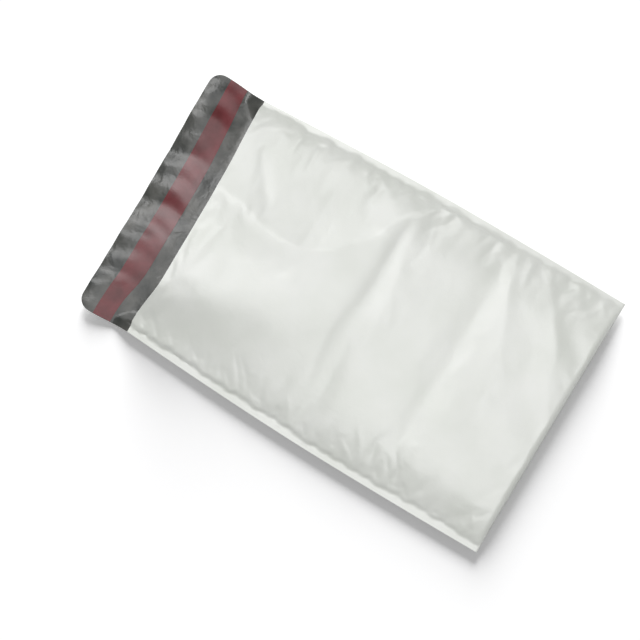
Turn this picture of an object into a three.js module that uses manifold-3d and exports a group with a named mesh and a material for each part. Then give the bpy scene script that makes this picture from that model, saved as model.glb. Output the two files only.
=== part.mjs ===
// Padded envelope of white film, lying on its back panel with its mouth held open.
// One web of film is folded at the closed end and welded along both sides. Its back
// panel runs on past the mouth as the closing flap. A bubble liner is folded the same
// way inside it. The flap's inner face carries a band of adhesive under a release film.
//
// +X runs across the envelope, +Y from the bottom fold to the flap, +Z up.
// The origin is the centre of its outline on the surface that it lies on.
// Every surface is a height over the web laid flat: "across" is measured from the
// centre line and "along" from the bottom fold.

import * as THREE from 'three';
import { mergeVertices } from 'three/addons/utils/BufferGeometryUtils.js';
import Module from 'manifold-3d';

// Driving dimensions, in millimetres
const bagWidth = 191;
const bodyLength = 276;
const flapLength = 40;
const flapCornerRadius = 9;
const seamWidth = 7;
const filmThickness = 0.5;
const linerThickness = 4;
const fitGap = 0.3;

// How the padding fills the pouch
const seamHeight = 4;
const padRise = 6.6;
const sideRun = 12;
const foldRun = 8;
const rimFace = 0.5;

// How far each long edge stands in from the widest place, a little below the middle
const widestShare = 0.45;
const foldNarrowing = 1.4;
const flapNarrowing = 3.4;

// How the mouth is held open
const mouthRise = 11.5;
const mouthNarrowing = 4.9;
const mouthPullback = 4;
const openDepth = 93;
const openFade = 37;
const leftSlope = 29;
const ridgeOffset = 14;
const ridgeTurnDepth = 58;
const ridgeReach = 63;
const ridgeRun = 65;

// The liner's pocket and the bubbles that show at the mouth
const linerSetback = 3;
const pocketInset = 6;
const pocketRun = 10;
const bubbleDiameter = 9.5;
const bubblePitch = 11.5;
const bubbleHeight = 2.8;
const bubbleRows = 3;
const bubbleSink = 0.35;

// The flap's lie, and the closing band on it
const flapRelax = 15;
const flapMiddleLift = 0.8;
const flapRightLift = 4.5;
const flapLeftLift = 3;
const flapRipple = 0.5;
const bandStart = 14.4;
const adhesiveWidth = 10;
const releaseWidth = 13;
const adhesiveThickness = 0.4;
const releaseThickness = 0.4;
const bandEndInset = 1.2;

// Facet spacing, across and along
const fineAcross = 10;
const fineAlong = 7.6;
const coarseAcross = 18;
const coarseAlong = 24;
const pocketAlongStep = 12;

// Gathers where the padding meets the welds
const gatherRise = 0.7;
const gatherPitch = 23;
const gatherReach = 13;

// Creases of the front panel: each runs between two points given from the centre
// line and from the mouth, with its height, or depth below zero, and its half width
const creases = [
  { from: [62, 121], to: [-58, 128], rise: -2.2, width: 7 },
  { from: [55, 137], to: [-30, 138], rise: 1.3, width: 6 },
  { from: [78, 190], to: [0, 194], rise: 1.5, width: 6 },
  { from: [76, 198], to: [22, 230], rise: 1.3, width: 5.5 },
  { from: [80, 231], to: [32, 262], rise: 1.2, width: 5.5 },
  { from: [14, 8], to: [13, 60], rise: 0.8, width: 8 },
  { from: [13, 60], to: [37, 102], rise: 1, width: 8 },
  { from: [37, 102], to: [74, 122], rise: 1, width: 7 },
  { from: [-80, 70], to: [-52, 88], rise: 0.9, width: 6 },
  { from: [-78, 160], to: [-46, 150], rise: 1.1, width: 6 },
  { from: [-80, 222], to: [-50, 212], rise: 1, width: 6 },
];

const halfWidth = bagWidth / 2;
const webLength = bodyLength + flapLength;
const cavityRim = seamWidth + filmThickness;
const linerRim = cavityRim + fitGap;
const pocketRim = linerRim + pocketInset;

// Shaping curves that run from 0 to 1
const clamp01 = (t) => Math.min(Math.max(t, 0), 1);
const ease = (t) => clamp01(t) ** 2 * (3 - 2 * clamp01(t));
const cushion = (t) => 1 - (1 - clamp01(t)) ** 2.2;
const nose = (t) => Math.sqrt(1 - (1 - clamp01(t)) ** 2);

// Height that the open mouth adds to the front panel. Its plateau ends at a ridge
// that leaves the mouth near the centre line and swings out to the right-hand seam.
function openRise(across, along) {
  const depth = bodyLength - along;
  const turn = Math.max(depth - ridgeTurnDepth, 0) / ridgeRun;
  const edge = halfWidth - seamWidth;
  const ridge = Math.min(ridgeOffset + ridgeReach * turn ** 2, edge - 2);
  const lengthwise = 1 - ease((depth - openDepth) / openFade);
  const left = ease((across + edge) / leftSlope);
  const right = 1 - clamp01((across - ridge) / (edge - ridge)) ** 1.3;
  return mouthRise * lengthwise * left * right;
}

// Height that one crease adds at a point
function creaseRise(crease, across, depth) {
  const dx = crease.to[0] - crease.from[0];
  const dy = crease.to[1] - crease.from[1];
  const reach = (across - crease.from[0]) * dx + (depth - crease.from[1]) * dy;
  const t = clamp01(reach / (dx * dx + dy * dy));
  const offX = across - crease.from[0] - t * dx;
  const offY = depth - crease.from[1] - t * dy;
  return crease.rise * Math.exp(-(offX * offX + offY * offY) / crease.width ** 2);
}

// Gathers beside the welds, and the creases
function wrinkleRise(across, along) {
  const inward = halfWidth - cavityRim - Math.abs(across);
  const beside = clamp01(inward / 3) * (1 - ease(inward / gatherReach));
  const phase = (2 * Math.PI * along) / gatherPitch + Math.sign(across);
  const gather = gatherRise * beside * (0.6 * Math.sin(phase) + 0.4 * Math.sin(1.7 * phase));
  const depth = bodyLength - along;
  return creases.reduce((sum, crease) => sum + creaseRise(crease, across, depth), gather);
}

// How far the padding is filled out, from 0 at a rim to 1 inside it
function fullness(across, along, rim, run) {
  const side = cushion((halfWidth - rim - Math.abs(across)) / run);
  return side * nose((along - rim + seamWidth) / foldRun);
}

// The pouch's outer faces
function frontOuter(across, along) {
  const full = fullness(across, along, seamWidth, sideRun);
  const fold = nose(along / foldRun);
  const lap = rimFace / 2 + (filmThickness - rimFace / 2) * nose(along / (2 * filmThickness));
  const lift = (openRise(across, along) + wrinkleRise(across, along)) * fold;
  return seamHeight + lap + padRise * full + lift;
}

function backOuter(across, along) {
  const full = fullness(across, along, seamWidth, sideRun);
  const lap = rimFace / 2 + (filmThickness - rimFace / 2) * nose(along / (2 * filmThickness));
  return (seamHeight - lap) * (1 - full);
}

// The faces inside the film: "rim" is where they start, measured from the side edge,
// "under" is how far they lie below the film's own inner face, and where they start
// they stand "under" less than the film's own rim face apart
function frontInner(across, along, rim, under) {
  const full = fullness(across, along, rim, sideRun);
  const fold = nose((along - rim + seamWidth) / foldRun);
  const lift = (openRise(across, along) + wrinkleRise(across, along)) * fold;
  const face = (rimFace - under) / 2;
  return seamHeight + face + (padRise - under - face) * full + lift;
}

function backInner(across, along, rim, under) {
  const full = fullness(across, along, rim, sideRun);
  const face = (rimFace - under) / 2;
  return seamHeight - face - (seamHeight - filmThickness - under - face) * full;
}

// The pocket inside the liner. Near the mouth only the liner's base sheet is left,
// and the bubbles stand on it.
const bubbleZone = linerSetback + (bubbleRows + 0.5) * bubblePitch * Math.sqrt(3 / 4);

function pocketUnder(along) {
  const bared = along > bodyLength - bubbleZone ? bubbleHeight : 0;
  return fitGap + linerThickness - bared;
}

function pocketFront(across, along) {
  const full = fullness(across, along, pocketRim, pocketRun);
  const rise = padRise - pocketUnder(along) - rimFace / 2;
  const crumple = along > bodyLength - bubbleZone ? 0 : wrinkleRise(across, along) * full;
  return seamHeight + rimFace / 2 + rise * full + openRise(across, along) + crumple;
}

function pocketBack(across, along) {
  const full = fullness(across, along, pocketRim, pocketRun);
  const drop = seamHeight - filmThickness - pocketUnder(along) - rimFace / 2;
  return seamHeight - rimFace / 2 - drop * full;
}

// The flap's inner face: it leaves the mouth as the back panel does, relaxes within
// a few millimetres and lifts towards its corners
function flapInner(across, along) {
  const past = along - bodyLength;
  const inside = Math.abs(across) <= halfWidth - cavityRim;
  const start = inside ? backInner(across, along, cavityRim, 0) : seamHeight - rimFace / 2;
  const reach = ease(past / flapLength);
  const right = flapRightLift * ease(across / halfWidth);
  const left = flapLeftLift * ease(-across / halfWidth);
  const ripple = flapRipple * (1 + Math.sin((4 * Math.PI * across) / halfWidth));
  const relaxed = filmThickness + (flapMiddleLift + right + left + ripple) * reach;
  return THREE.MathUtils.lerp(start, relaxed, ease(past / flapRelax));
}

// How far a long edge is drawn in: by the open mouth, by the fold, and on the flap
function drawnIn(along) {
  const share = Math.min(along / bodyLength, 1);
  const toMouth = clamp01((share - widestShare) / (1 - widestShare));
  const toFold = clamp01((widestShare - share) / widestShare);
  const past = clamp01((along - bodyLength) / flapLength);
  const regained = (mouthNarrowing - flapNarrowing) * ease(past / 0.75);
  return mouthNarrowing * toMouth ** 1.6 + foldNarrowing * toFold ** 2 - regained;
}

// Places a point of the flat web where it lies. The long edges bow out between the
// fold and the mouth, and the bulge of the mouth pulls its middle back.
function lay(across, along, height) {
  const past = clamp01((along - bodyLength) / flapLength);
  const towardMouth = Math.min(along / bodyLength, 1);
  const half = halfWidth - drawnIn(along);
  const middle = Math.max(openRise(across, Math.min(along, bodyLength)), 0) / mouthRise;
  const back = mouthPullback * middle * towardMouth ** 4 * (1 - ease(past));
  return new THREE.Vector3((across * half) / halfWidth, along - webLength / 2 - back, height);
}

// Facet lines across the web: dense over the padding's shoulder, even between
function acrossLines(edges, shoulder, spacing) {
  const rim = edges[edges.length - 1];
  const lines = shoulder.map((d) => seamWidth + d).filter((d) => d > rim + 0.6);
  const start = lines[lines.length - 1];
  const count = Math.max(2, Math.round((halfWidth - start) / spacing));
  const even = Array.from({ length: count }, (_, i) => start + ((halfWidth - start) * (i + 1)) / count);
  const left = [...edges, ...lines, ...even].map((d) => d - halfWidth);
  const right = left.slice(0, -1).reverse().map((x) => -x);
  return [...left, ...right];
}

const fineShoulder = [2, 4, 7, 11, 17];
const coarseShoulder = [2, 5, 10, 17];

// Facet lines along the web: dense round the bottom fold, then even to the end
function alongLines(inset, end, spacing) {
  const rows = [0, 0.06, 0.2, 0.48, 1].map((share) => inset + foldRun * share);
  const ends = fineAlong * 2;
  for (let along = ends; along < end - fineAlong / 2; along += spacing) rows.push(along);
  rows.push(end);
  return rows;
}

// Builds rows of points over the web from a height function
function sheet(lines, rows, height) {
  return rows.map((along) => lines.map((across) => lay(across, along, height(across, along))));
}

const column = (rows, index) => rows.map((row) => row.at(index));

// Sews two neighbouring rows of points with triangles. Seen with the first row
// running to the right and the second above it, the faces look at the viewer.
function sew(triangles, first, second) {
  let i = 0;
  let j = 0;
  while (i < first.length - 1 || j < second.length - 1) {
    const stepFirst = i < first.length - 1 ? first[i + 1].distanceToSquared(second[j]) : Infinity;
    const stepSecond = j < second.length - 1 ? first[i].distanceToSquared(second[j + 1]) : Infinity;
    if (stepFirst <= stepSecond) {
      triangles.push(first[i], first[i + 1], second[j]);
      i += 1;
    } else {
      triangles.push(first[i], second[j + 1], second[j]);
      j += 1;
    }
  }
}

function sewFacingUp(triangles, rows) {
  for (let i = 1; i < rows.length; i += 1) sew(triangles, rows[i - 1], rows[i]);
}

function sewFacingDown(triangles, rows) {
  for (let i = 1; i < rows.length; i += 1) sew(triangles, rows[i], rows[i - 1]);
}

// Closes a block between an upper and a lower sheet
function block(upper, lower) {
  const triangles = [];
  sewFacingUp(triangles, upper);
  sewFacingDown(triangles, lower);
  sew(triangles, lower[0], upper[0]);
  sew(triangles, upper.at(-1), lower.at(-1));
  sew(triangles, column(lower, -1), column(upper, -1));
  sew(triangles, column(upper, 0), column(lower, 0));
  return toGeometry(triangles);
}

function toGeometry(points) {
  const geometry = new THREE.BufferGeometry().setFromPoints(points);
  const merged = mergeVertices(geometry, 1e-4);
  const index = merged.getIndex().array;
  const kept = [];
  for (let i = 0; i < index.length; i += 3) {
    const [a, b, c] = index.slice(i, i + 3);
    if (a !== b && b !== c && c !== a) kept.push(a, b, c);
  }
  merged.setIndex(kept);
  merged.computeVertexNormals();
  return merged;
}

// The film web: front panel, bottom fold, back panel and flap in one piece, with the
// two panels welded into one double thickness along both sides
function filmGeometry() {
  const outerLines = acrossLines([0, seamWidth, cavityRim], fineShoulder, fineAcross);
  const innerLines = acrossLines([cavityRim], fineShoulder, fineAcross);
  const webLines = acrossLines([0, seamWidth, cavityRim], coarseShoulder, coarseAcross);
  const floorLines = acrossLines([cavityRim], coarseShoulder, coarseAcross);

  const front = sheet(outerLines, alongLines(0, bodyLength, fineAlong), frontOuter);
  const ceiling = sheet(innerLines, alongLines(filmThickness, bodyLength, fineAlong), (x, y) =>
    frontInner(x, y, cavityRim, 0));
  const back = sheet(webLines, alongLines(0, bodyLength, coarseAlong), backOuter);
  const floor = sheet(floorLines, alongLines(filmThickness, bodyLength, coarseAlong), (x, y) =>
    backInner(x, y, cavityRim, 0));
  const flapTop = flapSheet(webLines, flapInner);
  const flapUnder = flapSheet(webLines, (x, y) => flapInner(x, y) - filmThickness);
  flapUnder[0] = back.at(-1);

  const triangles = [];
  sewFacingUp(triangles, front);
  sewFacingDown(triangles, ceiling);
  sewFacingDown(triangles, back);
  sewFacingUp(triangles, floor);
  sewFacingUp(triangles, flapTop);
  sewFacingDown(triangles, flapUnder);

  // bottom fold, outside and inside
  sew(triangles, back[0], front[0]);
  sew(triangles, ceiling[0], floor[0]);

  // pocket's inner corner along each weld
  sew(triangles, column(ceiling, -1), column(floor, -1));
  sew(triangles, column(floor, 0), column(ceiling, 0));

  // outer edges of the welds
  sew(triangles, column(back, -1), [...column(front, -1), flapTop[0].at(-1)]);
  sew(triangles, [...column(front, 0), flapTop[0][0]], column(back, 0));

  // front panel's edge at the mouth, and the ends of the welds beside it
  const lip = front.at(-1);
  const lipInner = ceiling.at(-1);
  sew(triangles, lip.slice(2, -2), lipInner);
  sew(triangles, lip.slice(0, 3), [...flapTop[0].slice(0, 3), lipInner[0]]);
  sew(triangles, lip.slice(-3), [lipInner.at(-1), ...flapTop[0].slice(-3)]);

  // flap's side edges and tip
  sew(triangles, column(flapUnder, -1), column(flapTop, -1));
  sew(triangles, column(flapTop, 0), column(flapUnder, 0));
  sew(triangles, flapTop.at(-1), flapUnder.at(-1));
  return toGeometry(triangles);
}

// Rows of the flap, drawn in round its two corners
function flapSheet(lines, height) {
  const straight = webLength - flapCornerRadius;
  const rows = [0, 0.2, 0.45, 0.7, 1].map((share) => THREE.MathUtils.lerp(bodyLength, straight, share));
  const corner = [18, 36, 54, 72, 90].map((degrees) => THREE.MathUtils.degToRad(degrees));
  for (const angle of corner) rows.push(straight + flapCornerRadius * Math.sin(angle));
  return rows.map((along) => {
    const into = Math.max(along - straight, 0);
    const cut = flapCornerRadius - Math.sqrt(Math.max(flapCornerRadius ** 2 - into ** 2, 0));
    const share = (halfWidth - cut) / halfWidth;
    return lines.map((across) => lay(across * share, along, height(across * share, along)));
  });
}

// Joining and cutting of closed meshes
const wasm = await Module();
wasm.setup();

function toSolid(geometry) {
  const bare = geometry.clone();
  bare.deleteAttribute('normal');
  bare.deleteAttribute('uv');
  const merged = mergeVertices(bare, 1e-4);
  const vertProperties = new Float32Array(merged.getAttribute('position').array);
  const triVerts = new Uint32Array(merged.getIndex().array);
  return new wasm.Manifold(new wasm.Mesh({ numProp: 3, vertProperties, triVerts }));
}

function fromSolid(solid) {
  const mesh = solid.getMesh();
  const geometry = new THREE.BufferGeometry();
  geometry.setAttribute('position', new THREE.BufferAttribute(mesh.vertProperties, 3));
  geometry.setIndex(new THREE.BufferAttribute(mesh.triVerts, 1));
  geometry.computeVertexNormals();
  return geometry;
}

// One bubble: a pressed dome with a flat crown, standing on the liner's base sheet
function bubbleGeometry() {
  const base = bubbleDiameter / 2;
  const profile = [
    new THREE.Vector2(0, -bubbleSink),
    new THREE.Vector2(base, -bubbleSink),
    new THREE.Vector2(base * 0.92, bubbleHeight * 0.7),
    new THREE.Vector2(base * 0.66, bubbleHeight),
    new THREE.Vector2(0, bubbleHeight),
  ];
  const lathe = new THREE.LatheGeometry(profile, 7);
  return lathe.rotateX(Math.PI / 2);
}

// Places a bubble on a face of the liner; side is -1 under the front panel, where it
// points down into the pocket, and 1 on the back panel
function bubbleAt(shape, across, along, surface, side) {
  const here = lay(across, along, surface(across, along));
  const step = 1;
  const east = lay(across + step, along, surface(across + step, along)).sub(here);
  const north = lay(across, along + step, surface(across, along + step)).sub(here);
  const normal = new THREE.Vector3().crossVectors(east, north).normalize().multiplyScalar(side);
  const turn = new THREE.Quaternion().setFromUnitVectors(new THREE.Vector3(0, 0, 1), normal);
  return toSolid(shape.clone().applyQuaternion(turn).translate(here.x, here.y, here.z));
}

// Bubbles in staggered rows behind the liner's mouth edge, as far out as the pocket
// is fully open
function bubbleRowsNearMouth() {
  const shape = bubbleGeometry();
  const reach = halfWidth - pocketRim - pocketRun - bubblePitch;
  const rowPitch = bubblePitch * Math.sqrt(3 / 4);
  const solids = [];
  for (let row = 0; row < bubbleRows; row += 1) {
    const along = bodyLength - linerSetback - bubblePitch / 2 - row * rowPitch;
    const shift = row % 2 === 0 ? 0 : bubblePitch / 2;
    const count = Math.floor((reach - shift) / bubblePitch);
    for (let i = -count; i <= count + Math.sign(shift); i += 1) {
      const across = i * bubblePitch - shift;
      solids.push(bubbleAt(shape, across, along, pocketFront, -1));
      solids.push(bubbleAt(shape, across, along, pocketBack, 1));
    }
  }
  return solids;
}

// The liner: one folded bubble web, 0.3 mm clear of the film all round
function linerGeometry() {
  const end = bodyLength - linerSetback;
  const outerLines = acrossLines([linerRim], fineShoulder, fineAcross);
  const floorLines = acrossLines([linerRim], coarseShoulder, coarseAcross);
  const inset = filmThickness + fitGap;
  const upper = sheet(outerLines, alongLines(inset, end, fineAlong), (x, y) =>
    frontInner(x, y, linerRim, fitGap));
  const lower = sheet(floorLines, alongLines(inset, end, coarseAlong), (x, y) =>
    backInner(x, y, linerRim, fitGap));

  const pocketLines = acrossLines([pocketRim], [9, 12, 16, 22], coarseAcross);
  const pocketRows = pocketAlong(end + linerSetback);
  const ceiling = sheet(pocketLines, pocketRows, pocketFront);
  const floor = sheet(pocketLines, pocketRows, pocketBack);
  const web = toSolid(block(upper, lower)).subtract(toSolid(block(ceiling, floor)));
  return fromSolid(wasm.Manifold.union([web, ...bubbleRowsNearMouth()]));
}

// Rows of the pocket, with a step where the bubbles' base sheet begins
function pocketAlong(end) {
  const zone = bodyLength - bubbleZone;
  const inset = pocketRim - seamWidth;
  const rows = [0, 0.2, 0.48, 1].map((share) => inset + foldRun * share);
  const start = rows.at(-1);
  const count = Math.round((zone - start) / pocketAlongStep);
  for (let i = 1; i <= count; i += 1) rows.push(THREE.MathUtils.lerp(start, zone, i / count));
  rows.push(zone + rimFace, THREE.MathUtils.lerp(zone, end, 0.5), end);
  return rows;
}

// A band across the flap, "level" above its inner face
function bandGeometry(start, width, level, thickness) {
  const reach = halfWidth - bandEndInset;
  const count = 16;
  const lines = Array.from({ length: count + 1 }, (_, i) => reach * ((2 * i) / count - 1));
  const rows = [0, 0.5, 1].map((share) => bodyLength + start + width * share);
  const lower = sheet(lines, rows, (x, y) => flapInner(x, y) + level);
  const upper = sheet(lines, rows, (x, y) => flapInner(x, y) + level + thickness);
  return block(upper, lower);
}

function adhesiveGeometry() {
  const margin = (releaseWidth - adhesiveWidth) / 2;
  return bandGeometry(bandStart + margin, adhesiveWidth, fitGap, adhesiveThickness);
}

function releaseGeometry() {
  const level = 2 * fitGap + adhesiveThickness;
  return bandGeometry(bandStart, releaseWidth, level, releaseThickness);
}

function part(name, geometry, color, roughness) {
  const material = new THREE.MeshStandardMaterial({ color, roughness, metalness: 0 });
  const mesh = new THREE.Mesh(geometry, material);
  mesh.name = name;
  return mesh;
}

const envelope = new THREE.Group();
envelope.add(part('outer_film', filmGeometry(), '#e5e7e3', 0.38));
envelope.add(part('bubble_liner', linerGeometry(), '#c9cdcc', 0.3));
envelope.add(part('adhesive_strip', adhesiveGeometry(), '#b9b4a2', 0.5));
envelope.add(part('release_liner', releaseGeometry(), '#7a4647', 0.28));

export default envelope;
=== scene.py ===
# %% [markdown]
# # A padded envelope of white film
#
# The envelope is one web of white plastic film, folded at its closed end and welded
# along both long sides. A web of clear bubble film lines it. Its back panel runs on
# past the open mouth as a flap, which carries adhesive under a red release film.
#
# We dress an imported model that already fixes where each piece goes, so the first step
# is to load it.

# %% Load the frame
import math

import bpy
import numpy as np
from mathutils import Matrix, Vector


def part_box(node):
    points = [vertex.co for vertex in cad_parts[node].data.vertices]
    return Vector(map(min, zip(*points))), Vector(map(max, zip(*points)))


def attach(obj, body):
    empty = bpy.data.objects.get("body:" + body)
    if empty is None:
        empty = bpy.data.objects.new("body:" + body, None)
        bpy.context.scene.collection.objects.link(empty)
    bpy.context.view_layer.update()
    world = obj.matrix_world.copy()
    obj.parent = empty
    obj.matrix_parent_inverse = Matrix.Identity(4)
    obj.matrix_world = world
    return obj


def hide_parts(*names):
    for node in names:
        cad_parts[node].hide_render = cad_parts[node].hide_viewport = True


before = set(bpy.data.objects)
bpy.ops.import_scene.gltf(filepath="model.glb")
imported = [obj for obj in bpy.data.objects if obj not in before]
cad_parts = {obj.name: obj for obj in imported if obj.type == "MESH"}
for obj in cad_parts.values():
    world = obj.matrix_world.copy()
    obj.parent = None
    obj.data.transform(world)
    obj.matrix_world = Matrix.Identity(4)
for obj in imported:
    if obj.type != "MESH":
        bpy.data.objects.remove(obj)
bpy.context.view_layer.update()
print("nodes:", sorted(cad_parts))

# %% [markdown]
# The camera comes first. The photograph looks almost straight down, from a little
# below the bottom fold, with the envelope turned in the picture. A camera placed by a
# direction, a distance and a roll says that in four numbers, and is easier to correct
# than a matrix.

# %% Camera
MM = 0.001
IMAGE_PIXELS = 640
SENSOR_MM = 36.0

FOCAL_PIXELS = 1600.0
CAMERA_DEGREES = (2.6, 81.7, 298.34)
CAMERA_TARGET = (-16.8, 9.6, 0.0)
CAMERA_DISTANCE = 1070.0
CLIP_START = 10.0

azimuth, elevation, roll = (math.radians(a) for a in CAMERA_DEGREES)
target = Vector(CAMERA_TARGET) * MM
distance = CAMERA_DISTANCE * MM

back = Vector(
    (
        math.sin(azimuth) * math.cos(elevation),
        -math.cos(azimuth) * math.cos(elevation),
        math.sin(elevation),
    )
)
level_right = (-back).cross(Vector((0, 0, 1))).normalized()
level_up = level_right.cross(-back)
right = level_right * math.cos(roll) + level_up * math.sin(roll)
up = level_up * math.cos(roll) - level_right * math.sin(roll)

camera_data = bpy.data.cameras.new("camera")
camera_data.sensor_width = SENSOR_MM
camera_data.lens = FOCAL_PIXELS / IMAGE_PIXELS * SENSOR_MM
camera_data.clip_start = CLIP_START * MM
camera = bpy.data.objects.new("camera", camera_data)
turn = Matrix((right, up, back)).transposed().to_4x4()
camera.matrix_world = Matrix.Translation(target + back * distance) @ turn
bpy.context.scene.collection.objects.link(camera)
bpy.context.scene.camera = camera
print("camera at", [round(v, 3) for v in camera.location])
print("lens", round(camera_data.lens, 1), "mm")

# %% [markdown]
# The web's length and width are read from the frame, so that the film can't drift from
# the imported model. "Across" is measured from the centre line and "along" from the
# bottom fold, as on a flat web. All sizes are in millimetres. The weld on the right
# shows narrower than the one on the left.

# %% Sizes of the web
film_low, film_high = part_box("outer_film")
BAG_WIDTH = (film_high[0] - film_low[0]) / MM
WEB_LENGTH = (film_high[1] - film_low[1]) / MM
FLAP_LENGTH = 40.0
BODY_LENGTH = WEB_LENGTH - FLAP_LENGTH
HALF_WIDTH = BAG_WIDTH / 2
SEAM_WIDTH = 5.2
WELD_RIGHT = 3.4
FLAP_CORNER_RADIUS = 9.0
FILM_WALL = 0.3
FOLD_RUN = 8.0
print("web", round(BAG_WIDTH, 1), "mm wide, pouch", round(BODY_LENGTH, 1), "mm deep")

# %% [markdown]
# Film that covers padding is a height over the flat web. Each surface is one function
# of across and along, built from a few curves that run from 0 to 1. The same functions
# shape the film, the lining and the band on the flap, so the layers keep their order.

# %% Shaping curves
CUSHION_POWER = 2.2


def ramp(t):
    return np.clip(t, 0.0, 1.0)


def ease(t):
    t = ramp(t)
    return t * t * (3 - 2 * t)


def slow_ease(t):
    """As ease, with softer ends."""
    t = ramp(t)
    return t**3 * (10 - 15 * t + 6 * t * t)


def cushion(t):
    """Steep at first, then level, as the shoulder of a padded edge."""
    return 1 - (1 - ramp(t)) ** CUSHION_POWER


def nose(t):
    """A quarter circle, for film that turns round a fold."""
    return np.sqrt(np.maximum(1 - (1 - ramp(t)) ** 2, 0))


def fullness(across, along, rim, run):
    """How far the pouch has swelled, this far in from its welds and its fold."""
    side = cushion((HALF_WIDTH - rim - np.abs(across)) / run)
    return side * nose((along - rim + SEAM_WIDTH) / FOLD_RUN)


print("a quarter of the way in, a cushion stands at", round(float(cushion(0.25)), 2))

# %% [markdown]
# The mouth stands open. The raised film falls evenly from the mouth into the pouch, and
# slopes down to the left weld. On the right it ends at a ridge that leaves the mouth
# near the centre line and swings out to the right weld, where the film is held down.

# %% The open mouth
MOUTH_RISE = 11.5
OPEN_DEPTH = 196.0
LEFT_SLOPE = 44.0
LEFT_EASING = 0.45
RIDGE_OFFSET = 17.0
RIDGE_TURN_DEPTH = 62.0
RIDGE_REACH = 63.0
RIDGE_RUN = 74.0
RIDGE_MARGIN = 2.0
RIGHT_POWER = 1.6


def open_rise(across, along):
    depth = BODY_LENGTH - along
    edge = HALF_WIDTH - SEAM_WIDTH
    swing = np.maximum(depth - RIDGE_TURN_DEPTH, 0) / RIDGE_RUN
    ridge = np.minimum(RIDGE_OFFSET + RIDGE_REACH * swing**2, edge - RIDGE_MARGIN)
    lengthwise = 1 - ramp(depth / OPEN_DEPTH)
    left = slow_ease((across + edge) / (LEFT_SLOPE + LEFT_EASING * np.maximum(depth, 0)))
    right_side = 1 - ramp((across - ridge) / (edge - ridge)) ** RIGHT_POWER
    return MOUTH_RISE * lengthwise * left * right_side


print("the mouth rises", MOUTH_RISE, "mm, and the rise ends", OPEN_DEPTH, "mm inside")

# %% [markdown]
# Real film shows two kinds of wrinkle. A few long creases run where the load pulls, and
# they are placed one by one. Each has a path, given across and from the mouth, then its
# rise and the reach of its two flanks, the radius of its tip, and at times the share of
# its length over which it dies out. A positive rise is a fold that stands up, and a
# negative one is a valley. A sharp line with soft flanks is what tells film from cloth.

# %% Long creases
CREASE_TIP = 0.9
CREASE_HEAD = 0.12
CREASE_TAIL = 0.5
NARROWEST_FLANK = 0.35
RIDGE_PATH = [(25, -25), (25, 24), (19, 44), (17, 60), (19, 72), (22, 84), (27, 94), (34, 101)]
RIDGE_PATH += [(41, 107), (50, 114), (65, 121), (76, 128), (90, 142)]
CREASES = [
    # the long valley across the panel, and the sharper line at its left
    ([(66, 129), (-120, 131)], -0.6, 8.0, 24.0, 2.5),
    ([(-10, 134), (-92, 138)], -0.2, 3.0, 6.0, 0.9, 0.3),
    # the ridge's crest, and the hollow beside it at the mouth
    (RIDGE_PATH, 1.2, 12.0, 7.0, 1.4, 0.12),
    ([(66, 12), (55, 19), (26, 46)], -0.3, 4.0, 4.0, 0.9),
    # the shallow line where the open panel's fall ends
    ([(98, 193), (-120, 199)], -0.25, 14.0, 14.0, 0.5, 0.4),
    # two folds that fan out from the right weld towards the bottom fold
    ([(92, 198), (66, 205), (43, 216), (0, 240)], 0.8, 8.0, 5.0, 1.2),
    ([(92, 220), (68, 240), (43, 252), (0, 272)], 0.8, 8.0, 5.0, 1.2),
    # short ones beside the welds and on the panel
    ([(86, 139), (66, 143), (48, 145)], -0.3, 2.0, 2.5, 0.9),
    ([(86, 146), (66, 147), (52, 149)], -0.25, 1.5, 2.5, 0.9),
    ([(-84, 52), (-74, 46), (-66, 42)], -0.5, 3.0, 5.0, 0.9),
    ([(-84, 98), (-74, 99), (-64, 97)], -0.3, 3.0, 4.0, 0.9),
    ([(-84, 8), (-78, 11), (-70, 9)], -0.5, 3.0, 4.0, 0.9),
    ([(2, 153), (12, 146), (26, 138)], 0.35, 3.0, 5.0, 0.9),
    ([(-6, 72), (-10, 84), (-9, 96)], 0.25, 2.5, 4.0, 0.9),
    ([(-52, 206), (-80, 222)], 0.3, 5.0, 7.0, 0.9),
]


def crease_rise(
    across, depth, path, rise, near_flank, far_flank, tip_radius=CREASE_TIP, tail=CREASE_TAIL
):
    """The near flank is on the mouth's side of a path that runs to the left."""
    best = np.full_like(across, np.inf)
    flank = np.full_like(across, near_flank)
    fade = np.zeros_like(across)
    lengths = [math.dist(p, q) for p, q in zip(path, path[1:])]
    walked = 0.0
    for start, end, length in zip(path, path[1:], lengths):
        dx, dy = end[0] - start[0], end[1] - start[1]
        share = ramp(((across - start[0]) * dx + (depth - start[1]) * dy) / length**2)
        off_x = across - start[0] - share * dx
        off_y = depth - start[1] - share * dy
        off = np.hypot(off_x, off_y)
        nearer = off < best
        best = np.where(nearer, off, best)
        side = dx * off_y - dy * off_x
        flank = np.where(nearer, np.where(side > 0, near_flank, far_flank), flank)
        whole = (walked + share * length) / sum(lengths)
        strength = np.minimum(ramp(whole / CREASE_HEAD), ramp((1 - whole) / tail))
        fade = np.where(nearer, strength, fade)
        walked += length
    fade = ease(fade)
    tip = np.hypot(best, tip_radius) - tip_radius
    reach = flank * (NARROWEST_FLANK + (1 - NARROWEST_FLANK) * fade)
    return rise * fade * np.exp(-tip / reach)


print(len(CREASES), "creases")

# %% [markdown]
# Small gathers crowd along the welds, where the film has more length than the padding
# under it. Placed by hand they would look regular, so a seeded random draw scatters
# them, and the same seed gives the same envelope each time. Two in three are valleys.

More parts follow.
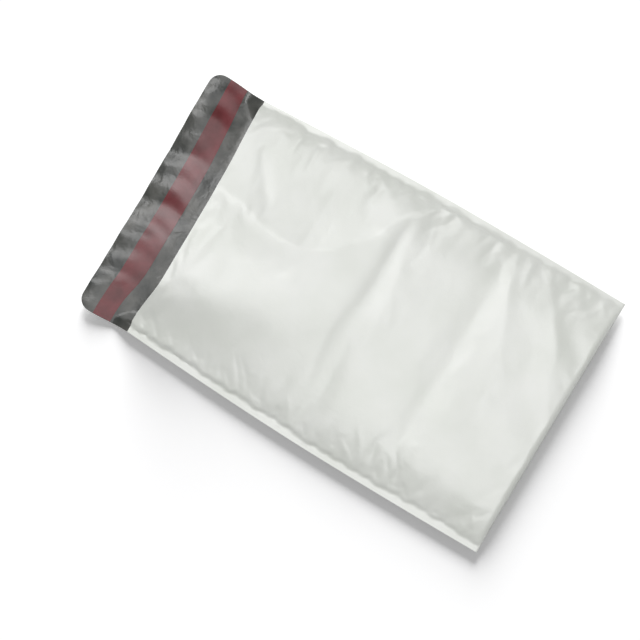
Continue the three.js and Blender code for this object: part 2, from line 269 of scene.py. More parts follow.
# %% Gathers along the welds
GATHER_MARGINS = (5.0, 4.0)
GATHER_SPACING = (2.5, 7.0)
SHORT_REACH = (4, 13)
LONG_REACH = (15, 30)
SHORT_SHARE = 0.8
GATHER_SLANT = (-0.1, 1.3)
GATHER_INSET = (0.5, 2.5)
GATHER_BEND = (0.35, 0.65)
GATHER_RISE = (0.2, 0.55)
GATHER_FLANKS = (0.8, 2.2)


def draw_gathers(side, seed):
    """Each gather leaves the weld at one place, at a slant, with its own length."""
    rng = np.random.default_rng(seed)
    gathers = []
    place = GATHER_MARGINS[0]
    while place < BODY_LENGTH - GATHER_MARGINS[1]:
        reach = rng.uniform(*(SHORT_REACH if rng.random() < SHORT_SHARE else LONG_REACH))
        slant = rng.uniform(*GATHER_SLANT) * reach
        root = HALF_WIDTH - SEAM_WIDTH - rng.uniform(*GATHER_INSET)
        depth = BODY_LENGTH - place
        bend = (side * (root - reach / 2), depth - slant * rng.uniform(*GATHER_BEND))
        path = [(side * root, depth), bend, (side * (root - reach), depth - slant)]
        rise = rng.uniform(*GATHER_RISE) * rng.choice((-1, -1, 1))
        flanks = rng.uniform(*GATHER_FLANKS, 2)
        gathers.append((path, rise, flanks[0], flanks[1]))
        place += rng.uniform(*GATHER_SPACING)
    return gathers


GATHERS = draw_gathers(1, seed=4) + draw_gathers(-1, seed=9)
print(len(GATHERS), "gathers")

# %% [markdown]
# Lines placed one by one look ruled, so the creases wander a little, and stronger places
# alternate with weaker ones. A few sine waves of random heading, added up, make a smooth
# random field that does both. All wrinkles die out just inside the welds.

# %% All the wrinkles
DRIFT_WAVES = 6
DRIFT_PACE = (0.6, 1.5)
DRIFT_LEVEL = 2.6
WANDER = 1.2
WANDER_LENGTH = 48
STRENGTH = 0.9
STRENGTH_CHANGE = 0.2
STRENGTH_LENGTH = 45
SOFT_RISE = 0.1
SOFT_LENGTH = 42
WRINKLE_RIM = 0.5
WRINKLE_RIM_RUN = 2.5


def drift(x, y, wavelength, seed):
    """A smooth random field of about plus or minus one."""
    rng = np.random.default_rng(seed)
    total = np.zeros_like(x)
    for _ in range(DRIFT_WAVES):
        heading, phase = rng.uniform(0, 2 * np.pi, 2)
        pace = 2 * np.pi / wavelength * rng.uniform(*DRIFT_PACE)
        total += np.sin((x * np.cos(heading) + y * np.sin(heading)) * pace + phase)
    return total / DRIFT_LEVEL


def wrinkle_rise(across, along):
    depth = BODY_LENGTH - along
    wander_x = across + WANDER * drift(across, depth, WANDER_LENGTH, seed=1)
    wander_y = depth + WANDER * drift(across, depth, WANDER_LENGTH, seed=3)
    total = np.zeros_like(across)
    for crease in CREASES:
        total += crease_rise(wander_x, wander_y, *crease)
    for gather in GATHERS:
        total += crease_rise(across, depth, *gather)
    strength = STRENGTH + STRENGTH_CHANGE * drift(across, depth, STRENGTH_LENGTH, seed=7)
    soft = SOFT_RISE * drift(across, depth, SOFT_LENGTH, seed=11)
    inside = ramp((HALF_WIDTH - WELD_RIGHT - WRINKLE_RIM - np.abs(across)) / WRINKLE_RIM_RUN)
    return (total * strength + soft) * inside


centre_line = np.linspace(0, BODY_LENGTH, 200)
centre_wrinkles = wrinkle_rise(0 * centre_line, centre_line)
print("wrinkles span", round(float(np.ptp(centre_wrinkles)), 2), "mm on the centre line")

# %% [markdown]
# The front panel's padding begins with a narrow step beside the weld, scalloped where
# the film is held up by one bubble and not by the next, and goes on as a long soft
# crown. The open mouth and the wrinkles come on top of it.

# %% Front panel
SEAM_HEIGHT = 4.0
SEAM_HALF = 0.35
PAD_RISE = 6.6
STEP_RUN = 3.6
STEP_RUN_RIGHT = 7.0
STEP_SHARE = 0.39
STEP_LEFT_AT_FOLD = 0.3
STEP_GROWTH = 1.5
CROWN_RUN = 36.0
FOLD_STEP_RUN = 3.5
FOLD_EDGE_RUN = 1.5
SCALLOP_PITCH = 13.0
SCALLOP_DEPTH = 0.9
LONG_SCALLOP_DEPTH = 0.6
SCALLOP_CHANGE_ACROSS = 0.2


def scallop(across, along):
    """How far the step's edge lies in or out, in short waves and in long ones."""
    slow = across * SCALLOP_CHANGE_ACROSS
    short_waves = SCALLOP_DEPTH * drift(slow, along, SCALLOP_PITCH, seed=22)
    return short_waves + LONG_SCALLOP_DEPTH * drift(slow, along, SCALLOP_PITCH * 3, seed=23)


def pad_fullness(across, along):
    """A narrow scalloped step beside the weld, then a long soft crown."""
    weld = np.where(across > 0, WELD_RIGHT, SEAM_WIDTH)
    inside = HALF_WIDTH - weld - np.abs(across) + scallop(across, along)
    step = cushion(inside / np.where(across > 0, STEP_RUN_RIGHT, STEP_RUN))
    crown = 1 - (1 - ramp(inside / CROWN_RUN)) ** 2
    grown = ease(along / BODY_LENGTH) ** STEP_GROWTH
    share = STEP_SHARE * (STEP_LEFT_AT_FOLD + (1 - STEP_LEFT_AT_FOLD) * grown)
    return (share * step + (1 - share) * crown) * nose(along / FOLD_STEP_RUN)


def front_height(across, along):
    full = pad_fullness(across, along)
    lift = (open_rise(across, along) + wrinkle_rise(across, along)) * nose(along / FOLD_RUN)
    return SEAM_HEIGHT + SEAM_HALF * nose(along / FOLD_EDGE_RUN) + PAD_RISE * full + lift


panel_middle = front_height(np.zeros(1), np.full(1, BODY_LENGTH / 2))
print("the panel's middle stands", round(float(panel_middle[0]), 1), "mm high")

# %% [markdown]
# The back panel lies flat on what it rests on, and only its welds stand up from it. The
# flap leaves the mouth as the back panel does, relaxes within a few millimetres, lifts
# towards its corners and ripples a little, as thin film does when nothing holds it.

# %% Back panel and flap
SIDE_RUN = 12.0
FLAP_REST = 0.35
FLAP_RELAX_RUN = 15.0
FLAP_LIFT = 0.8
RIGHT_CORNER_LIFT = 4.5
LEFT_CORNER_LIFT = 3.0
FLAP_RIPPLE = 0.5
FLUTTER = 0.25
FLUTTER_RADIUS = 3.1
FLUTTER_BEND = 0.8
FLUTTER_BEND_RADIUS = 5.0
FLUTTER_START_RUN = 8.0


def back_height(across, along):
    full = fullness(across, along, SEAM_WIDTH, SIDE_RUN)
    return (SEAM_HEIGHT - SEAM_HALF * nose(along / FOLD_EDGE_RUN)) * (1 - full)


def flap_height(across, along):
    past = along - BODY_LENGTH
    side = across / HALF_WIDTH
    lift = FLAP_LIFT + RIGHT_CORNER_LIFT * ease(side) + LEFT_CORNER_LIFT * ease(-side)
    ripple = FLAP_RIPPLE * (1 + np.sin(4 * np.pi * across / HALF_WIDTH))
    bent = across / FLUTTER_RADIUS + FLUTTER_BEND * np.sin(past / FLUTTER_BEND_RADIUS)
    flutter = FLUTTER * np.sin(bent) * ease(past / FLUTTER_START_RUN)
    relaxed = FLAP_REST + (lift + ripple + flutter) * ease(past / FLAP_LENGTH)
    start = back_height(across, np.full_like(across, BODY_LENGTH))
    return start + (relaxed - start) * ease(past / FLAP_RELAX_RUN)


print("the flap's corners lift", LEFT_CORNER_LIFT, "and", RIGHT_CORNER_LIFT, "mm")

# %% [markdown]
# The long edges aren't straight: they stand in towards the mouth, which is held open,
# and a little towards the fold. The mouth's edge is also pulled back where it stands
# highest. One function places any point of the flat web where it lies.

# %% Where the web lies
MOUTH_NARROWING = 4.9
MOUTH_BOW = 1.6
FOLD_NARROWING = 1.4
FOLD_BOW = 2
FLAP_NARROWING = 3.4
FLAP_REGAIN_SHARE = 0.75
WIDEST_SHARE = 0.45
MOUTH_PULLBACK = 6.5
PULLBACK_POWER = 4


def drawn_in(along):
    """How far a long edge stands in from the bag's widest place."""
    share = np.minimum(along / BODY_LENGTH, 1)
    to_mouth = ramp((share - WIDEST_SHARE) / (1 - WIDEST_SHARE))
    to_fold = ramp((WIDEST_SHARE - share) / WIDEST_SHARE)
    past = ramp((along - BODY_LENGTH) / FLAP_LENGTH)
    regained = (MOUTH_NARROWING - FLAP_NARROWING) * ease(past / FLAP_REGAIN_SHARE)
    return MOUTH_NARROWING * to_mouth**MOUTH_BOW + FOLD_NARROWING * to_fold**FOLD_BOW - regained


def lay(across, along, height):
    """Points of the flat web, placed where it lies, in metres."""
    past = ramp((along - BODY_LENGTH) / FLAP_LENGTH)
    toward_mouth = np.minimum(along / BODY_LENGTH, 1)
    half = HALF_WIDTH - drawn_in(along)
    raised = open_rise(across, np.minimum(along, BODY_LENGTH)) / MOUTH_RISE
    pulled = MOUTH_PULLBACK * raised * toward_mouth**PULLBACK_POWER * (1 - ease(past))
    x = across * half / HALF_WIDTH
    y = along - WEB_LENGTH / 2 - pulled
    return np.stack([x, y, height], axis=-1) * MM


def laid_points(surface, lines, rows):
    """The points of a surface over these lines and rows of the flat web."""
    across, along = np.meshgrid(lines, rows)
    return lay(across, along, surface(across, along))


print("the mouth is", round(2 * (HALF_WIDTH - MOUTH_NARROWING), 1), "mm wide")

# %% [markdown]
# The film is made as it is in the factory: one flat web, then folded. A grid primitive
# gives the web, and its rows and columns are moved to where the film lies. The columns
# stand closer near the welds, where the gathers are small.

# %% Helpers for grids
WELD_COLUMNS = 6
GATHER_BAND = 30.0
GATHER_COLUMNS = 25
MIDDLE_COLUMNS = 33
TURN_ROWS = 9


def deselect_all():
    bpy.ops.object.select_all(action="DESELECT")


def add_grid(name, columns, rows):
    """A grid primitive with this many columns and rows of points."""
    deselect_all()
    bpy.ops.mesh.primitive_grid_add(x_subdivisions=columns - 1, y_subdivisions=rows - 1, size=1)
    piece = bpy.context.object
    piece.name = name
    piece.data.name = name
    return piece


def set_points(piece, points):
    piece.data.vertices.foreach_set("co", points.reshape(-1))
    piece.data.update()


def spaced_columns():
    weld = np.linspace(0, SEAM_WIDTH, WELD_COLUMNS)[:-1]
    gathers = np.linspace(SEAM_WIDTH, GATHER_BAND, GATHER_COLUMNS)[:-1]
    middle = np.linspace(GATHER_BAND, HALF_WIDTH, MIDDLE_COLUMNS)
    left = np.concatenate([weld, gathers, middle]) - HALF_WIDTH
    return np.concatenate([left, -left[-2::-1]])


def spaced_rows(step):
    fold = FOLD_RUN * (1 - np.cos(np.linspace(0, np.pi / 2, TURN_ROWS)))
    count = int(round((BODY_LENGTH - FOLD_RUN) / step))
    return np.concatenate([fold, np.linspace(FOLD_RUN, BODY_LENGTH, count + 1)[1:]])


columns = spaced_columns()
print(len(columns), "columns of points across the web")

# %% [markdown]
# The film is cut longer and wider than the padded shape that it covers, so it buckles.
# A cloth simulation finds those buckles, starting from the laid shape. The welds, the
# fold and the mouth's edge are pinned, and weak pins elsewhere stand for the padding
# that the film lies on. The sheet is simulated at ten times its size, where the
# solver's distances suit it, and its springs are told to grow a little, which gives it
# the spare length.

# %% Cloth settings
SIM_SCALE = 10.0
SIM_FRAMES = 24
SPARE_LENGTH = 0.006
PAD_HOLD = 0.012
WELD_PIN_RUN = 0.6
FOLD_PIN_RUN = 4.0
MOUTH_PIN = 0.6
MOUTH_PIN_RUN = 3.0


def pin_weights(across, along):
    weld = ramp((np.abs(across) - (HALF_WIDTH - SEAM_WIDTH)) / WELD_PIN_RUN)
    fold = ramp((FOLD_PIN_RUN - along) / FOLD_PIN_RUN)
    mouth = MOUTH_PIN * ramp((along - (BODY_LENGTH - MOUTH_PIN_RUN)) / MOUTH_PIN_RUN)
    return np.maximum(np.maximum(weld, np.maximum(fold, mouth)), PAD_HOLD)


def add_cloth(sheet, across, along):
    pins = sheet.vertex_groups.new(name="pins")
    for index, weight in enumerate(pin_weights(across, along).reshape(-1)):
        pins.add([index], float(weight), "REPLACE")
    cloth = sheet.modifiers.new("cloth", "CLOTH")
    settings = cloth.settings
    settings.quality = 6
    settings.mass = 0.3
    settings.tension_stiffness = 30
    settings.compression_stiffness = 30
    settings.shear_stiffness = 10
    settings.bending_stiffness = 0.6
    settings.air_damping = 2
    settings.pin_stiffness = 1.0
    settings.vertex_group_mass = "pins"
    settings.shrink_min = -SPARE_LENGTH
    settings.use_pressure = True
    settings.uniform_pressure_force = -0.02
    settings.effector_weights.gravity = 0
    cloth.collision_settings.use_collision = False
    cloth.collision_settings.use_self_collision = False


print("the cloth runs for", SIM_FRAMES, "frames at", SIM_SCALE, "times its size")

# %% [markdown]
# The simulation would move the film farther than the padding under it allows. So a
# share of each point's movement is kept, and a long one is cut short smoothly.

# %% Settle the front panel
SETTLE_LIMIT = 2.0
SETTLE_SHARE = 0.4
TINY = 1e-9


def settle_front(points, across, along):
    """Let the front panel buckle, and return its settled points."""
    sheet = add_grid("front_panel", points.shape[1], points.shape[0])
    set_points(sheet, points * SIM_SCALE)
    add_cloth(sheet, across, along)
    scene = bpy.context.scene
    for frame_number in range(1, SIM_FRAMES + 1):
        scene.frame_set(frame_number)
    settled = sheet.evaluated_get(bpy.context.evaluated_depsgraph_get())
    flat_list = np.empty(points.size)
    settled.data.vertices.foreach_get("co", flat_list)
    moved = flat_list.reshape(points.shape) / SIM_SCALE - points
    length = np.linalg.norm(moved, axis=-1, keepdims=True)
    limit = SETTLE_LIMIT * MM
    kept = SETTLE_SHARE * limit * np.tanh(length / limit)
    print("cloth moved", round(float(length.mean()) / MM, 2), "mm on average")
    print("and at most", round(float(length.max()) / MM, 2), "mm")
    bpy.data.objects.remove(sheet)
    scene.frame_set(1)
    return points + moved * (kept / np.maximum(length, TINY))


# %% [markdown]
# The web's rows run from the mouth's edge down the front panel, round the bottom fold,
# up the back panel and out over the flap. The flap's last rows grow shorter, which
# rounds its corners.

# %% Fold the web
FRONT_ROW_STEP = 1.3
BACK_ROW_STEP = 4.4
FLAP_ROWS = 22


def flap_points(rows):
    points = []
    for along in rows:
        into = max(along - (WEB_LENGTH - FLAP_CORNER_RADIUS), 0)
        cut = FLAP_CORNER_RADIUS - math.sqrt(max(FLAP_CORNER_RADIUS**2 - into**2, 0))
        across = columns * (HALF_WIDTH - cut) / HALF_WIDTH
        height = flap_height(across, np.full_like(across, along))
        points.append(lay(across, np.full_like(across, along), height))
    return np.array(points)


front_rows = spaced_rows(FRONT_ROW_STEP)[::-1]
back_rows = spaced_rows(BACK_ROW_STEP)[1:]
flap_straight = np.linspace(0, FLAP_LENGTH - FLAP_CORNER_RADIUS, FLAP_ROWS)[1:]
corner_turn = np.linspace(0, np.pi / 2, TURN_ROWS)[1:]
flap_corner = FLAP_LENGTH - FLAP_CORNER_RADIUS * (1 - np.sin(corner_turn))
flap_rows = BODY_LENGTH + np.concatenate([flap_straight, flap_corner])

front_sheet = laid_points(front_height, columns, front_rows)
front_sheet = settle_front(front_sheet, *np.meshgrid(columns, front_rows))
back_sheet = laid_points(back_height, columns, back_rows)
web_points = np.concatenate([front_sheet, back_sheet, flap_points(flap_rows)])
film = add_grid("film", len(columns), len(web_points))
set_points(film, web_points)
print("web of", len(columns), "by", len(web_points), "points")

# %% [markdown]
# Materials come from small node trees. Hex values are sRGB, as a picture shows them,
# and Blender works in linear light, so one function turns them. One more function adds
# a node with its settings and links. Plastic film is never quite even, so most finishes
# here let their colour drift between two tones, over a real distance in millimetres.

# %% Material helpers
def linear(hex_colour):
    channels = [int(hex_colour[i : i + 2], 16) / 255 for i in (1, 3, 5)]
    bright = [c / 12.92 if c <= 0.04045 else ((c + 0.055) / 1.055) ** 2.4 for c in channels]
    return (*bright, 1.0)


def add_node(tree, kind, settings=None, inputs=None, links=None):
    node = tree.nodes.new(kind)
    for name, value in (settings or {}).items():
        setattr(node, name, value)
    for name, value in (inputs or {}).items():
        node.inputs[name].default_value = value
    for name, socket in (links or {}).items():
        tree.links.new(socket, node.inputs[name])
    return node


def new_material(name, **sockets):
    material = bpy.data.materials.new(name)
    material.use_nodes = True
    tree = material.node_tree
    shader = tree.nodes["Principled BSDF"]
    for socket, value in sockets.items():
        shader.inputs[socket.replace("_", " ")].default_value = value
    return material, tree, shader


def cloud_colour(tree, shader, size_mm, tones, stops=(0.0, 1.0), **texture):
    """Let the colour drift between two tones, over this many millimetres."""
    place = add_node(tree, "ShaderNodeTexCoord").outputs["Object"]
    cloud = add_node(
        tree,
        "ShaderNodeTexNoise",
        inputs={"Scale": 1 / (size_mm * MM), **texture},
        links={"Vector": place},
    )
    tint = add_node(tree, "ShaderNodeValToRGB", links={"Fac": cloud.outputs["Fac"]})
    for element, stop, tone in zip(tint.color_ramp.elements, stops, tones):
        element.position = stop
        element.color = linear(tone)
    tree.links.new(tint.outputs["Color"], shader.inputs["Base Color"])


def ripple_surface(tree, shader, size_mm, strength, depth_mm, **texture):
    """Ripples of this many millimetres that only the light shows."""
    place = add_node(tree, "ShaderNodeTexCoord").outputs["Object"]
    ripple = add_node(
        tree,
        "ShaderNodeTexNoise",
        inputs={"Scale": 1 / (size_mm * MM), **texture},
        links={"Vector": place},
    )
    relief = add_node(
        tree,
        "ShaderNodeBump",
        inputs={"Strength": strength, "Distance": depth_mm * MM},
        links={"Height": ripple.outputs["Fac"]},
    )
    tree.links.new(relief.outputs["Normal"], shader.inputs["Normal"])


print("mid grey #808080 is", round(linear("#808080")[0], 3), "in linear light")

# %% [markdown]
# The outside is white low-density polyethylene film, blown and lightly embossed, with a
# satin surface. To the eye it is a soft white with a wide, weak sheen, a little cloudy
# where the film is thinner, with fine ripples that only the light shows.

# %% White film
def white_film_material():
    material, tree, shader = new_material(
        "white_polyethylene_film", Roughness=0.32, IOR=1.51, Specular_IOR_Level=0.8
    )
    tones = ("#dde0d9", "#e5e7e2")
    clouds = {"Detail": 3.0, "Roughness": 0.5}
    cloud_colour(tree, shader, size_mm=38, tones=tones, stops=(0.3, 0.7), **clouds)
    ripples = {"Detail": 3.0, "Roughness": 0.45, "Distortion": 0.8}
    ripple_surface(tree, shader, size_mm=8, strength=0.3, depth_mm=0.3, **ripples)
    return material


white_film = white_film_material()
print(white_film.name, "has", len(white_film.node_tree.nodes), "nodes")

# %% [markdown]
# The inside is the same film's grey layer, which makes the envelope opaque. It is
# smoother than the outside, so it is darker and shows small sharp glints.

# %% Grey inner face
def grey_film_material():
    material, tree, shader = new_material(
        "grey_polyethylene_film", Roughness=0.2, IOR=1.51, Specular_IOR_Level=0.3
    )
    tones = ("#343735", "#62625e")
    cloud_colour(tree, shader, size_mm=16, tones=tones, stops=(0.32, 0.7), Detail=4.0)
    ripples = {"Detail": 2.0, "Distortion": 0.8}
    ripple_surface(tree, shader, size_mm=9, strength=0.5, depth_mm=0.5, **ripples)
    return material


grey_film = grey_film_material()
print(grey_film.name, "has", len(grey_film.node_tree.nodes), "nodes")

# %% [markdown]
# Every face of the web has to look outwards. The front panel's are made to look up, and
# the fold then turns the back panel's down. A Solidify modifier gives the film its
# wall, inwards from there, and puts the inner skin on the second material.

# %% Give the film its wall
SMOOTH_BELOW = math.radians(50)


def make_active(piece):
    deselect_all()
    piece.select_set(True)
    bpy.context.view_layer.objects.active = piece


def turn_front_up(piece):
    """Turn all faces over if the front panel's look down."""
    on_front_panel = len(piece.data.polygons) // 4
    if piece.data.polygons[on_front_panel].normal.z > 0:
        return
    make_active(piece)
    bpy.ops.object.mode_set(mode="EDIT")
    bpy.ops.mesh.select_all(action="SELECT")
    bpy.ops.mesh.flip_normals()
    bpy.ops.object.mode_set(mode="OBJECT")
    print("turned the faces of", piece.name, "over")


def give_wall(piece, wall_mm, offset, inner_material=0):
    wall = piece.modifiers.new("wall", "SOLIDIFY")
    wall.thickness = wall_mm * MM
    wall.offset = offset
    wall.material_offset = inner_material
    wall.material_offset_rim = 0
    make_active(piece)
    bpy.ops.object.modifier_apply(modifier=wall.name)


def shade_smooth(piece):
    make_active(piece)
    bpy.ops.object.shade_smooth_by_angle(angle=SMOOTH_BELOW)


turn_front_up(film)
film.data.materials.clear()
film.data.materials.append(white_film)
film.data.materials.append(grey_film)
give_wall(film, FILM_WALL, offset=-1, inner_material=1)
shade_smooth(film)
print("film has", len(film.data.polygons), "faces")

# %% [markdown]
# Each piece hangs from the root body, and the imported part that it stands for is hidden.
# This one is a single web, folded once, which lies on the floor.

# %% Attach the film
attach(film, "root")
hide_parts("outer_film")
print("the film laid flat is", round(2 * BODY_LENGTH + FLAP_LENGTH, 1), "mm long")

# %% [markdown]
# The lining is a second folded web, of clear bubble film. Its base sheet lies against
# the film, and its bubbles point into the pocket and touch the goods. One bubble is
# modelled from a sphere and copied over the whole web in staggered rows.

# %% Lining base sheet
LINER_WALL = 0.35
LINER_RIM = SEAM_WIDTH + 1.0
LINER_RIM_RUN = 6.0
LINER_SETBACK = 3.0
LINER_START = 1.2
LINER_GAP = 1.9
LINER_SEAM_GAP = 0.1
VALLEY_ROOM = 0.8
LINER_COLUMNS = 61
LINER_ROWS = 95


def liner_front(across, along):
    """Under the film, and lower still where a valley presses down on it."""
    valley = ramp(-wrinkle_rise(across, along))
    room = front_height(across, along) - FILM_WALL - LINER_GAP - VALLEY_ROOM * valley
    rim = ramp((HALF_WIDTH - LINER_RIM - np.abs(across)) / LINER_RIM_RUN)
    return SEAM_HEIGHT + LINER_SEAM_GAP + np.maximum(room - SEAM_HEIGHT, 0) * rim


def liner_back(across, along):
    full = fullness(across, along, LINER_RIM, SIDE_RUN)
    return SEAM_HEIGHT - LINER_SEAM_GAP - (SEAM_HEIGHT - LINER_GAP) * full


liner_edge = HALF_WIDTH - LINER_RIM
liner_columns = np.linspace(-liner_edge, liner_edge, LINER_COLUMNS)
liner_rows = np.linspace(LINER_START, BODY_LENGTH - LINER_SETBACK, LINER_ROWS)
liner_top = laid_points(liner_front, liner_columns, liner_rows[::-1])
liner_bottom = laid_points(liner_back, liner_columns, liner_rows)
liner_points = np.concatenate([liner_top, liner_bottom])
liner = add_grid("bubble_lining", len(liner_columns), len(liner_points))
set_points(liner, liner_points)
turn_front_up(liner)
give_wall(liner, LINER_WALL, offset=-1)
print("lining's base sheet has", len(liner.data.polygons), "faces")

# %% [markdown]
# A bubble is a low dome with steep sides and a flat foot. It starts as a sphere with few
# faces, since there are hundreds of copies, is cut just below its middle, and then has
# its sides steepened and its top flattened.

# %% One bubble
BUBBLE_DIAMETER = 9.5
BUBBLE_HEIGHT = 3.2
BUBBLE_SIDES = 0.6
BUBBLE_TOP = 0.8
BUBBLE_CUT = -0.05

deselect_all()
bpy.ops.mesh.primitive_uv_sphere_add(segments=12, ring_count=8, radius=1)
bubble = bpy.context.object
bpy.ops.object.mode_set(mode="EDIT")
bpy.ops.mesh.select_all(action="SELECT")
cut = {"plane_co": (0, 0, BUBBLE_CUT), "plane_no": (0, 0, 1)}
bpy.ops.mesh.bisect(**cut, use_fill=True, clear_inner=True)
bpy.ops.object.mode_set(mode="OBJECT")
ball = np.empty(len(bubble.data.vertices) * 3)
bubble.data.vertices.foreach_get("co", ball)
ball = ball.reshape(-1, 3)
radial = np.hypot(ball[:, 0], ball[:, 1])
outward = np.minimum(radial, 1) ** BUBBLE_SIDES / np.maximum(radial, TINY)
swell = np.where(radial > 0, outward, 0)
bubble_shape = np.stack(
    [
        ball[:, 0] * swell * BUBBLE_DIAMETER / 2,
        ball[:, 1] * swell * BUBBLE_DIAMETER / 2,
        np.sign(ball[:, 2]) * np.abs(ball[:, 2]) ** BUBBLE_TOP * BUBBLE_HEIGHT,
    ],
    axis=-1,
)
bubble_faces = [list(p.vertices) for p in bubble.data.polygons]
bpy.data.objects.remove(bubble)
print("one bubble has", len(bubble_faces), "faces")

# %% [markdown]
# The bubbles stand in staggered rows, as they do on the roll. Each copy follows the
# sheet under it and stands square to it. The copies of both panels become one mesh,
# which is joined to the lining.

# %% All the bubbles
BUBBLE_PITCH = 11.5
BUBBLE_RIM = 11
BUBBLE_END = 16


def bubble_places():
    row_pitch = BUBBLE_PITCH * math.sqrt(3 / 4)
    reach = liner_edge - BUBBLE_RIM
    places = []
    row = 0
    along = BODY_LENGTH - LINER_SETBACK - BUBBLE_PITCH / 2
    while along > BUBBLE_END:
        shift = 0 if row % 2 == 0 else BUBBLE_PITCH / 2
        count = int((reach - shift) // BUBBLE_PITCH)
        extra = 1 if shift else 0
        places += [(i * BUBBLE_PITCH - shift, along) for i in range(-count, count + extra + 1)]
        row += 1
        along -= row_pitch
    return np.array(places)


def bubbles_on(surface, side):
    """Bubbles on one panel, standing up from it (1) or down (-1)."""
    places = bubble_places()
    across = places[:, None, 0] + bubble_shape[None, :, 0]
    along = places[:, None, 1] + bubble_shape[None, :, 1]
    here = lay(across, along, surface(across, along))
    east = lay(across + 1, along, surface(across + 1, along)) - here
    north = lay(across, along + 1, surface(across, along + 1)) - here
    normal = np.cross(east, north) * side
    normal /= np.linalg.norm(normal, axis=-1)[..., None]
    points = here + normal * bubble_shape[None, :, 2, None] * MM
    return points.reshape(-1, 3)


bubble_points = np.concatenate([bubbles_on(liner_front, -1), bubbles_on(liner_back, 1)])
copies = len(bubble_points) // len(bubble_shape)
firsts = [i * len(bubble_shape) for i in range(copies)]
faces = [[first + v for v in face] for first in firsts for face in bubble_faces]
bubble_mesh = bpy.data.meshes.new("bubbles")
bubble_mesh.from_pydata(bubble_points.tolist(), [], faces)
bubbles = bpy.data.objects.new("bubbles", bubble_mesh)
bpy.context.scene.collection.objects.link(bubbles)
deselect_all()
bubbles.select_set(True)
liner.select_set(True)
bpy.context.view_layer.objects.active = liner
bpy.ops.object.join()
shade_smooth(liner)
print(copies, "bubbles, lining has", len(liner.data.polygons), "faces")

# %% [markdown]
# Bubble film is clear polyethylene. Two thin layers over the grey film look pale grey,
# with a bright edge on each bubble.

# %% Clear bubble film
def bubble_film_material():
    material, tree, shader = new_material(
        "clear_bubble_film", Roughness=0.16, IOR=1.5, Alpha=0.5
    )
    cloud_colour(tree, shader, size_mm=14, tones=("#b9bfbe", "#d8dcdb"))
    return material


liner.data.materials.clear()
liner.data.materials.append(bubble_film_material())
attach(liner, "root")
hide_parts("bubble_liner")
print("the lining starts", LINER_SETBACK, "mm inside the mouth")

# %% [markdown]
# The closing band crosses the flap: a line of adhesive, and over it a strip of red
# release film, a little wider, so that a finger can lift it. Both are thin, so each is
# a grid laid on the flap's inner face and given a wall.

# %% Adhesive and release film
BAND_START = 14.4
BAND_INSET = 0.15
BAND_WALL = 0.08
BAND_COLUMNS = 141
BAND_ROWS = 9
RELEASE_WIDTH = 13.0
RELEASE_LEVEL = 0.14
ADHESIVE_WIDTH = 10.0
ADHESIVE_LEVEL = 0.03


def band(name, start, width, level):
    """A strip across the flap, this high above the film's outer skin."""
    reach = HALF_WIDTH - BAND_INSET
    lines = np.linspace(-reach, reach, BAND_COLUMNS)
    rows = BODY_LENGTH + start + np.linspace(0, width, BAND_ROWS)
    across, along = np.meshgrid(lines, rows)
    piece = add_grid(name, len(lines), len(rows))
    set_points(piece, lay(across, along, flap_height(across, along) + level))
    give_wall(piece, BAND_WALL, offset=1)
    shade_smooth(piece)
    return piece


adhesive_start = BAND_START + (RELEASE_WIDTH - ADHESIVE_WIDTH) / 2
adhesive = band("adhesive", adhesive_start, ADHESIVE_WIDTH, FILM_WALL + ADHESIVE_LEVEL)
release = band("release_film", BAND_START, RELEASE_WIDTH, FILM_WALL + RELEASE_LEVEL)
print("band is", RELEASE_WIDTH, "mm wide, starting", BAND_START, "mm from the mouth")

# %% [markdown]
# The release film is dyed red and lies over grey film, so it looks maroon, with bright
# glints where it buckles. The adhesive under it is a dull, pale, rubbery layer.

# %% Band materials
def release_material():
    material, tree, shader = new_material(
        "red_release_film", Roughness=0.2, IOR=1.5, Specular_IOR_Level=0.3
    )
    tones = ("#5a1c1f", "#782e33")
    cloud_colour(tree, shader, size_mm=12, tones=tones, stops=(0.3, 0.7), Detail=3.0)
    return material


def adhesive_material():
    material, tree, shader = new_material("pressure_adhesive", Roughness=0.55, IOR=1.48)
    cloud_colour(tree, shader, size_mm=5, tones=("#a8a28f", "#c6c1ae"))
    return material


for piece, node, slot_name, material in (
    (adhesive, "adhesive_strip", "adhesive", adhesive_material()),
    (release, "release_liner", "red_release_film", release_material()),
):
    piece.data.materials.clear()
    piece.data.materials.append(material)
    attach(piece, "root")
    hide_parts(node)
    print(piece.name, "is made of", material.name)

# %% [markdown]
# The studio is plain: one large matt white floor. A white floor still renders a little
# grey, so it also glows, but only towards rays that look at it: to the rays that light
# the envelope it stays an ordinary floor, and it keeps the envelope's shadow.

# %% Floor
FLOOR_SIZE = 4.0
FLOOR_WHITE = (0.97, 0.97, 0.975, 1)
FLOOR_GLOW = 0.2
WHITE = (1, 1, 1, 1)

deselect_all()
bpy.ops.mesh.primitive_plane_add(size=FLOOR_SIZE)
floor = bpy.context.object
floor.name = "floor"
floor_material, floor_tree, floor_shader = new_material(
    "white_floor",
    Roughness=0.9,
    Specular_IOR_Level=0.0,
    Base_Color=FLOOR_WHITE,
    Emission_Color=WHITE,
)
seen = add_node(floor_tree, "ShaderNodeLightPath")
seen_rays = add_node(
    floor_tree,
    "ShaderNodeMath",
    {"operation": "MAXIMUM"},
    links={0: seen.outputs["Is Camera Ray"], 1: seen.outputs["Is Glossy Ray"]},
)
all_seen_rays = add_node(
    floor_tree,
    "ShaderNodeMath",
    {"operation": "MAXIMUM"},
    links={0: seen_rays.outputs[0], 1: seen.outputs["Is Transmission Ray"]},
)
floor_glow = add_node(
    floor_tree,
    "ShaderNodeMath",
    {"operation": "MULTIPLY"},
    inputs={1: FLOOR_GLOW},
    links={0: all_seen_rays.outputs[0]},
)
floor_tree.links.new(floor_glow.outputs[0], floor_shader.inputs["Emission Strength"])
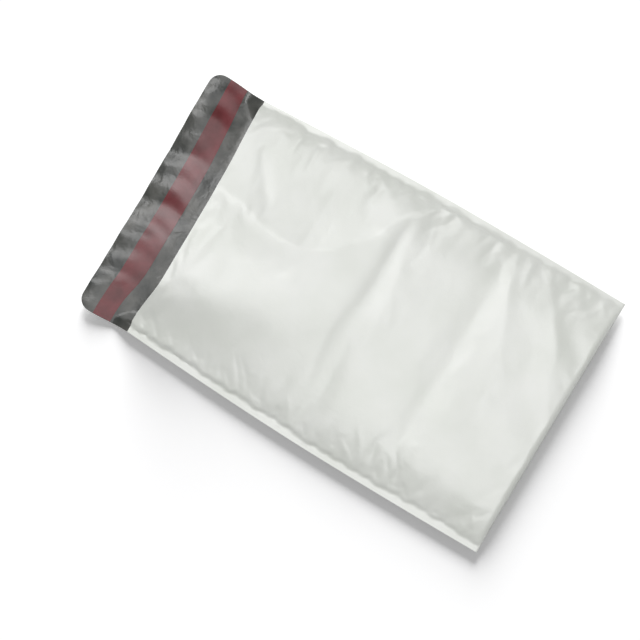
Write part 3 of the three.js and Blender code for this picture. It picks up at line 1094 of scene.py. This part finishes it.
floor.data.materials.append(floor_material)
print("floor is", FLOOR_SIZE, "m wide")

# %% [markdown]
# Three soft lamps light the envelope. A wide one overhead fills the flat film, one at
# the top of the picture shades its slopes, and a small one towards the upper right draws
# the bright lines on the ridge and the folds. Film shows its form by such reflections,
# so a small lamp shows more of it than a strong one. The photograph's shadow is darker
# than soft lamps throw, so these leave the floor out, and a low sun lights it alone.

# %% Lamps
def add_lamp(name, toward, metres_away, size, watts):
    """A square soft lamp that looks at the middle of the envelope."""
    lamp_data = bpy.data.lights.new(name, "AREA")
    lamp_data.shape = "SQUARE"
    lamp_data.size = size
    lamp_data.energy = watts
    lamp = bpy.data.objects.new(name, lamp_data)
    direction = Vector(toward).normalized()
    lamp.location = direction * metres_away
    lamp.rotation_euler = direction.to_track_quat("Z", "Y").to_euler()
    bpy.context.scene.collection.objects.link(lamp)
    return lamp


def link_lamp(lamp, state):
    """Let a lamp light the floor alone, or everything but the floor."""
    receivers = bpy.data.collections.new(lamp.name + "_receivers")
    receivers.objects.link(floor)
    receivers.collection_objects[0].light_linking.link_state = state
    lamp.light_linking.receiver_collection = receivers


LOW_SUN_ENERGY = 7.2
LOW_SUN_SPREAD = 30
LOW_SUN_TOWARD = (0.86, 0.41, 0.28)

overhead = add_lamp("overhead", (-0.13, -0.06, 1.0), metres_away=2.4, size=1.2, watts=16.0)
glint = add_lamp("glint", (0.10, 0.26, 1.0), metres_away=2.4, size=0.5, watts=9.0)
key = add_lamp("top_of_picture", (0.49, 0.295, 0.82), metres_away=2.6, size=1.4, watts=20)
for lamp in (overhead, glint, key):
    link_lamp(lamp, "EXCLUDE")

sun_data = bpy.data.lights.new("low_sun", "SUN")
sun_data.energy = LOW_SUN_ENERGY
sun_data.angle = math.radians(LOW_SUN_SPREAD)
sun = bpy.data.objects.new("low_sun", sun_data)
sun.rotation_euler = Vector(LOW_SUN_TOWARD).to_track_quat("Z", "Y").to_euler()
bpy.context.scene.collection.objects.link(sun)
link_lamp(sun, "INCLUDE")
print("lamps:", sorted(light.name for light in bpy.data.lights))

# %% [markdown]
# The sky fills the shadows a little, and is white where the camera sees it past the
# floor's far edge. The standard view transform keeps white film white.

# %% Sky
SKY_GLOW = 0.22
world = bpy.data.worlds.new("studio")
world.use_nodes = True
bpy.context.scene.world = world
sky = world.node_tree.nodes["Background"]
sky.inputs["Color"].default_value = WHITE
sky_ray = add_node(world.node_tree, "ShaderNodeLightPath")
sky_glow = add_node(
    world.node_tree,
    "ShaderNodeMath",
    {"operation": "MAXIMUM"},
    inputs={1: SKY_GLOW},
    links={0: sky_ray.outputs["Is Camera Ray"]},
)
world.node_tree.links.new(sky_glow.outputs[0], sky.inputs["Strength"])
bpy.context.scene.view_settings.view_transform = "Standard"
print("sky glows at", SKY_GLOW)
